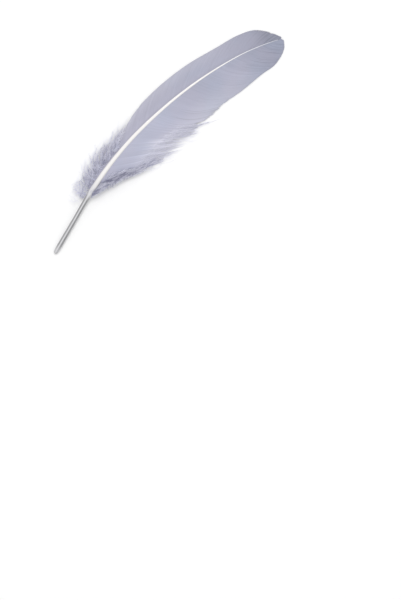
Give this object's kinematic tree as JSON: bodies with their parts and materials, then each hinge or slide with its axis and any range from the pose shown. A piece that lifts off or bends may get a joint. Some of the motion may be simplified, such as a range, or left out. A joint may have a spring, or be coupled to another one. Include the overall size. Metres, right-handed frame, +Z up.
{
  "type": "goose feather",
  "caption": "Grey wing feather lying flat: bare quill, arched shaft, narrow and wide vanes, loose fringe and down at the base.",
  "frame": {"origin": "middle of the feather's box, on the surface that it lies on", "axes": "+X from the quill end to the tip, +Y towards the narrow outer vane, +Z up from the surface that the feather lies on, upper side up"},
  "size_m": [0.1822, 0.0384, 0.0062],
  "materials": {
    "grey_barbs": "matt slate grey barbs with a breath of lavender",
    "quill_horn": "clear grey horn of the bare quill, faintly glossy",
    "shaft_ivory": "opaque cream white shaft between the vanes",
    "grey_down": "soft grey down at the base of the vanes"
  },
  "bodies": {
    "root": {"feather": "grey_barbs"}
  },
  "joints": []
}
